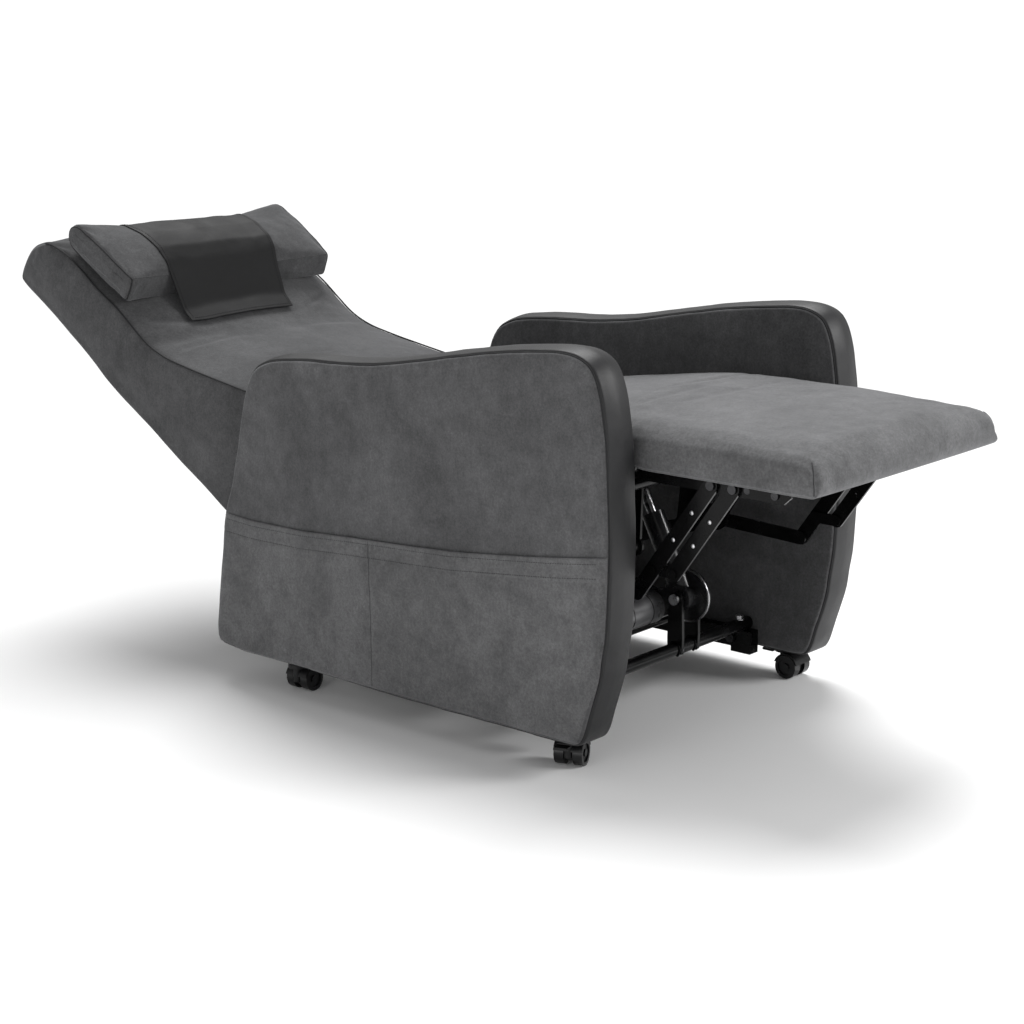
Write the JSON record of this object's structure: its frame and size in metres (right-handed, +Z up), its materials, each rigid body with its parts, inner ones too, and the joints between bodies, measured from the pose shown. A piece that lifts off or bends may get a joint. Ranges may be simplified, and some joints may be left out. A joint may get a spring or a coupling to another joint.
{
  "type": "lift recliner chair",
  "caption": "Upholstered lift recliner on swivel castors: tilting lift frame, reclining back, folding leg rest and sliding head cushion.",
  "frame": {"origin": "on the floor under the centre of the bounding box, in the reclined pose", "axes": "+Z up, the front of the chair faces -Y, the occupant's right is -X"},
  "size_m": [0.6862, 1.711, 0.731],
  "materials": {
    "black_leather": "smooth semi-matt black leather",
    "charcoal_suede": "napped charcoal microfibre suede",
    "board_wood": "birch plywood and beech frame",
    "zinc_steel": "bright zinc-plated steel",
    "black_steel": "black powder-coated steel",
    "gear_casting": "satin black die casting",
    "motor_plastic": "dark grey moulded plastic",
    "castor_plastic": "black moulded nylon",
    "castor_tread": "black nylon wheel"
  },
  "bodies": {
    "base": {"arm_left_core": "board_wood", "arm_left_leather_band": "black_leather", "arm_left_pocket": "charcoal_suede", "arm_left_side_pads": "charcoal_suede", "arm_right_core": "board_wood", "arm_right_leather_band": "black_leather", "arm_right_pocket": "charcoal_suede", "arm_right_side_pads": "charcoal_suede", "base_bolts": "zinc_steel", "base_cross_tubes": "black_steel", "base_rails": "black_steel", "castor_sockets": "zinc_steel", "control_box": "motor_plastic", "control_box_bracket": "black_steel", "lift_clevis": "black_steel", "lift_clevis_pin": "zinc_steel", "lift_pivot_brackets": "black_steel"},
    "front_lift_link": {"lift_link_front": "black_steel", "lift_torque_tube": "black_steel"},
    "rear_lift_link": {"lift_link_rear": "black_steel"},
    "seat_frame": {"seat_side_plates": "black_steel", "seat_frame_pins": "zinc_steel", "seat_cross_tubes": "black_steel", "seat_board": "board_wood", "actuator_brackets": "black_steel", "seat_cushion": "charcoal_suede"},
    "lift_actuator": {"lift_actuator_housing": "gear_casting", "lift_actuator_motor": "motor_plastic"},
    "lift_rod": {"lift_actuator_rod": "zinc_steel"},
    "leg_actuator": {"leg_actuator_housing": "gear_casting", "leg_actuator_motor": "motor_plastic"},
    "leg_rod": {"leg_actuator_rod": "zinc_steel"},
    "back_actuator": {"back_actuator_housing": "gear_casting", "back_actuator_motor": "motor_plastic"},
    "back_rod": {"back_actuator_rod": "zinc_steel"},
    "leg_crank": {"leg_cranks": "black_steel", "leg_torque_tube": "black_steel"},
    "leg_bar_rear": {"leg_bar_rear": "black_steel"},
    "leg_bar_front": {"leg_bar_front": "black_steel"},
    "leg_short_link": {"leg_short_link": "black_steel"},
    "legrest": {"legrest_pad": "charcoal_suede", "legrest_board": "board_wood", "legrest_brackets": "black_steel", "legrest_fasteners": "zinc_steel"},
    "backrest": {"back_cushion": "charcoal_suede", "back_shell": "charcoal_suede", "back_frame": "black_steel", "back_torque_tube": "black_steel"},
    "headrest": {"headrest_pillow": "charcoal_suede", "headrest_leather_flap": "black_leather"},
    "castor_front_right": {"castor_front_right_fork": "castor_plastic"},
    "wheels_front_right": {"castor_front_right_wheels": "castor_tread"},
    "castor_front_left": {"castor_front_left_fork": "castor_plastic"},
    "wheels_front_left": {"castor_front_left_wheels": "castor_tread"},
    "castor_rear_right": {"castor_rear_right_fork": "castor_plastic"},
    "wheels_rear_right": {"castor_rear_right_wheels": "castor_tread"},
    "castor_rear_left": {"castor_rear_left_fork": "castor_plastic"},
    "wheels_rear_left": {"castor_rear_left_wheels": "castor_tread"},
    "brake_front_right": {"castor_front_right_brake_pedal": "castor_plastic"},
    "brake_front_left": {"castor_front_left_brake_pedal": "castor_plastic"}
  },
  "joints": [
    {"name": "lift", "type": "hinge", "parent": "base", "child": "front_lift_link", "pos_m": [0, -0.2895, 0.1], "axis": [1, 0, 0], "range_deg": [0, 50]},
    {"name": "seat_tilt", "type": "hinge", "parent": "front_lift_link", "child": "seat_frame", "pos_m": [0, -0.04984, 0.15976], "axis": [1, 0, 0], "range_deg": [-32.5, 0]},
    {"name": "rear_link_swing", "type": "hinge", "parent": "base", "child": "rear_lift_link", "pos_m": [0, -0.1695, 0.115], "axis": [1, 0, 0], "range_deg": [0, 43.5]},
    {"name": "lift_actuator_swing", "type": "hinge", "parent": "base", "child": "lift_actuator", "pos_m": [0, -0.3995, 0.175], "axis": [1, 0, 0], "range_deg": [0, 47]},
    {"name": "lift_rod_swing", "type": "hinge", "parent": "seat_frame", "child": "lift_rod", "pos_m": [0, -0.2995, 0.366], "axis": [1, 0, 0], "range_deg": [0, 28.5]},
    {"name": "recline", "type": "hinge", "parent": "seat_frame", "child": "backrest", "pos_m": [0, 0.0405, 0.4], "axis": [1, 0, 0], "range_deg": [0, 50]},
    {"name": "back_actuator_swing", "type": "hinge", "parent": "seat_frame", "child": "back_actuator", "pos_m": [0, -0.3295, 0.335], "axis": [1, 0, 0], "range_deg": [-2, 2]},
    {"name": "back_rod_swing", "type": "hinge", "parent": "backrest", "child": "back_rod", "pos_m": [0, 0.00669, 0.32749], "axis": [1, 0, 0], "range_deg": [-52, 0]},
    {"name": "headrest_slide", "type": "slide", "parent": "backrest", "child": "headrest", "axis": [0, 0.8526, 0.5225], "range_m": [-0.012, 0.045]},
    {"name": "legrest_fold", "type": "hinge", "parent": "seat_frame", "child": "legrest", "pos_m": [0, -0.4995, 0.455], "axis": [1, 0, 0], "range_deg": [0, 85]},
    {"name": "leg_crank_turn", "type": "hinge", "parent": "seat_frame", "child": "leg_crank", "pos_m": [0, -0.3715, 0.275], "axis": [1, 0, 0], "range_deg": [0, 85]},
    {"name": "leg_bar_rear_turn", "type": "hinge", "parent": "legrest", "child": "leg_bar_rear", "pos_m": [0, -0.6565, 0.448], "axis": [1, 0, 0], "range_deg": [-85, 0]},
    {"name": "leg_bar_front_turn", "type": "hinge", "parent": "legrest", "child": "leg_bar_front", "pos_m": [0, -0.6945, 0.448], "axis": [1, 0, 0], "range_deg": [-85, 0]},
    {"name": "leg_short_link_turn", "type": "hinge", "parent": "leg_bar_rear", "child": "leg_short_link", "pos_m": [0, -0.55602, 0.3067], "axis": [1, 0, 0], "range_deg": [0, 85]},
    {"name": "leg_actuator_swing", "type": "hinge", "parent": "seat_frame", "child": "leg_actuator", "pos_m": [0, -0.0595, 0.25], "axis": [1, 0, 0], "range_deg": [-3, 3.5]},
    {"name": "leg_rod_swing", "type": "hinge", "parent": "leg_crank", "child": "leg_rod", "pos_m": [0, -0.4019, 0.24182], "axis": [1, 0, 0], "range_deg": [-86, 0]},
    {"name": "front_right_swivel", "type": "hinge", "parent": "base", "child": "castor_front_right", "pos_m": [-0.3, -0.4625, 0.05], "axis": [0, 0, 1], "continuous": true},
    {"name": "front_right_roll", "type": "hinge", "parent": "castor_front_right", "child": "wheels_front_right", "pos_m": [-0.28309, -0.45634, 0.02], "axis": [-0.342, 0.9397, 0], "continuous": true},
    {"name": "front_right_brake", "type": "hinge", "parent": "castor_front_right", "child": "brake_front_right", "pos_m": [-0.31504, -0.46797, 0.0415], "axis": [-0.342, 0.9397, 0], "range_deg": [-14, 0], "stiffness_Nm_per_rad": 0.6},
    {"name": "front_left_swivel", "type": "hinge", "parent": "base", "child": "castor_front_left", "pos_m": [0.303, -0.4475, 0.05], "axis": [0, 0, 1], "continuous": true},
    {"name": "front_left_roll", "type": "hinge", "parent": "castor_front_left", "child": "wheels_front_left", "pos_m": [0.303, -0.4655, 0.02], "axis": [1, 0, 0], "continuous": true},
    {"name": "front_left_brake", "type": "hinge", "parent": "castor_front_left", "child": "brake_front_left", "pos_m": [0.303, -0.4315, 0.0415], "axis": [1, 0, 0], "range_deg": [-14, 0], "stiffness_Nm_per_rad": 0.6},
    {"name": "rear_right_swivel", "type": "hinge", "parent": "base", "child": "castor_rear_right", "pos_m": [-0.3, 0.1125, 0.05], "axis": [0, 0, 1], "continuous": true},
    {"name": "rear_right_roll", "type": "hinge", "parent": "castor_rear_right", "child": "wheels_rear_right", "pos_m": [-0.28201, 0.11313, 0.02], "axis": [-0.0349, 0.9994, 0], "continuous": true},
    {"name": "rear_left_swivel", "type": "hinge", "parent": "base", "child": "castor_rear_left", "pos_m": [0.3, 0.1125, 0.05], "axis": [0, 0, 1], "continuous": true},
    {"name": "rear_left_roll", "type": "hinge", "parent": "castor_rear_left", "child": "wheels_rear_left", "pos_m": [0.28261, 0.11716, 0.02], "axis": [-0.2588, -0.9659, 0], "continuous": true}
  ],
  "couplings": [
    {"joint": "seat_tilt", "follows": "lift", "ratio": -0.64},
    {"joint": "rear_link_swing", "follows": "lift", "ratio": 0.864},
    {"joint": "lift_actuator_swing", "follows": "lift", "ratio": 0.8955},
    {"joint": "lift_rod_swing", "follows": "lift", "ratio": 0.5355},
    {"joint": "back_actuator_swing", "follows": "recline", "ratio": -0.0118},
    {"joint": "back_rod_swing", "follows": "recline", "ratio": -1.0118},
    {"joint": "leg_crank_turn", "follows": "legrest_fold", "ratio": 1},
    {"joint": "leg_bar_rear_turn", "follows": "legrest_fold", "ratio": -1},
    {"joint": "leg_bar_front_turn", "follows": "legrest_fold", "ratio": -1},
    {"joint": "leg_short_link_turn", "follows": "legrest_fold", "ratio": 1},
    {"joint": "leg_actuator_swing", "follows": "legrest_fold", "ratio": 0.0205},
    {"joint": "leg_rod_swing", "follows": "legrest_fold", "ratio": -0.9795}
  ]
}
